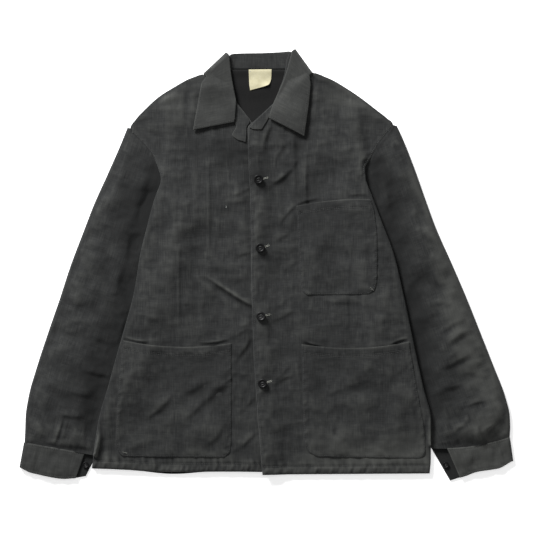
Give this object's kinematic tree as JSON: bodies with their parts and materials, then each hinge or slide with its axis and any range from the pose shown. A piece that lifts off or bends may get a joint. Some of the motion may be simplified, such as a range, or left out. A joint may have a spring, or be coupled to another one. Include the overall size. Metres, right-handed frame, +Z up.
{
  "type": "padded work jacket",
  "caption": "Charcoal padded work jacket laid flat, front up, with a turned-down collar, patch pockets, a buttoned front and buttoned cuffs.",
  "frame": {"origin": "middle of the jacket's base, on the surface that it lies on", "axes": "+Z up from the surface, +Y from the hem to the collar, +X across the jacket to the wearer's left"},
  "size_m": [0.862, 0.7492, 0.0232],
  "materials": {
    "charcoal_cloth": "plain-woven slubby cotton cloth, washed, matt",
    "label_tape": "cream woven tape, blank",
    "black_button": "moulded, worn gloss"
  },
  "bodies": {
    "root": {"back": "charcoal_cloth", "front_right": "charcoal_cloth", "front_left": "charcoal_cloth", "facing_right": "charcoal_cloth", "facing_left": "charcoal_cloth", "sleeve_right": "charcoal_cloth", "sleeve_left": "charcoal_cloth", "cuff_right": "charcoal_cloth", "cuff_left": "charcoal_cloth", "collar_stand": "charcoal_cloth", "collar_fall": "charcoal_cloth", "pocket_chest": "charcoal_cloth", "pocket_hip_right": "charcoal_cloth", "pocket_hip_left": "charcoal_cloth", "label": "label_tape", "button_1": "black_button", "button_2": "black_button", "button_3": "black_button", "button_4": "black_button", "cuff_button_right": "black_button", "cuff_button_left": "black_button"}
  },
  "joints": []
}
